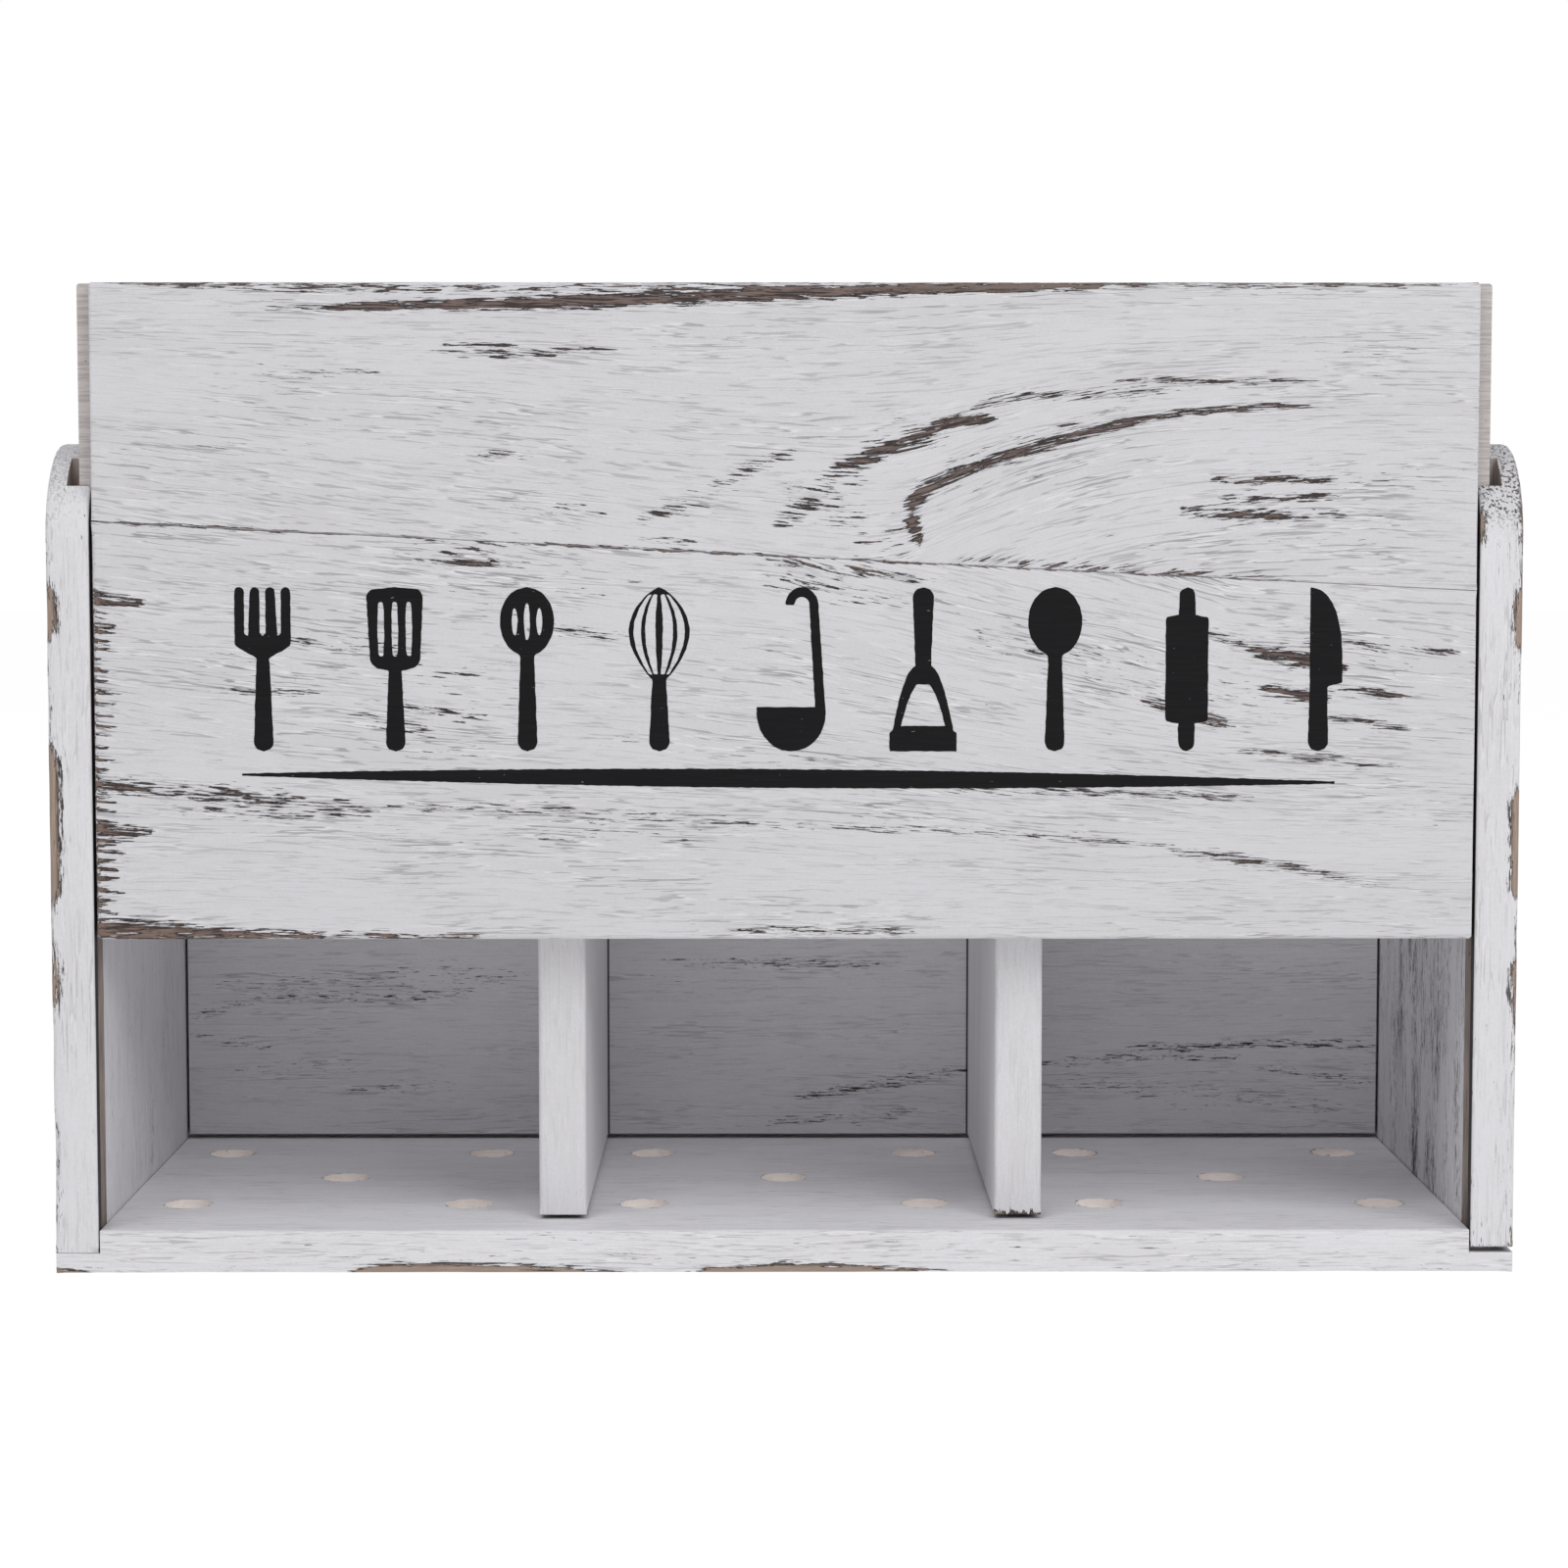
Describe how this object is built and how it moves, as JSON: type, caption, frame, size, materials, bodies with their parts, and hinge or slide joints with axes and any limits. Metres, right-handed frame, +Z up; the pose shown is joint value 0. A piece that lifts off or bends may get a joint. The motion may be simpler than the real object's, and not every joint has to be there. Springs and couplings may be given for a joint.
{
  "type": "utensil caddy with sliding front panel",
  "caption": "Open-topped whitewashed wooden utensil caddy with compartments, a drained base and a flat front panel that slides up in grooves.",
  "frame": {"origin": "middle of the footprint, on the surface the caddy stands on", "axes": "+X along the width, to the right as seen from the front; +Y from the front panel to the back; +Z up"},
  "size_m": [0.3, 0.117, 0.2025],
  "materials": {
    "carcass_wood": "matt whitewash over distressed wood",
    "panel_wood": "matt whitewash over distressed wood",
    "brad_steel": "bright wire",
    "black_print": "matt black paint print"
  },
  "bodies": {
    "carcass": {"base_board": "carcass_wood", "left_side_board": "carcass_wood", "right_side_board": "carcass_wood", "back_board": "carcass_wood", "left_divider": "carcass_wood", "right_divider": "carcass_wood", "base_brads": "brad_steel", "left_side_brads": "brad_steel", "right_side_brads": "brad_steel", "back_brads": "brad_steel"},
    "front_panel": {"front_upper_board": "panel_wood", "front_lower_board": "panel_wood"}
  },
  "joints": [
    {"name": "front_panel_slide", "type": "slide", "parent": "carcass", "child": "front_panel", "axis": [0, 0, 1], "range_m": [-0.06, 0.106]}
  ]
}
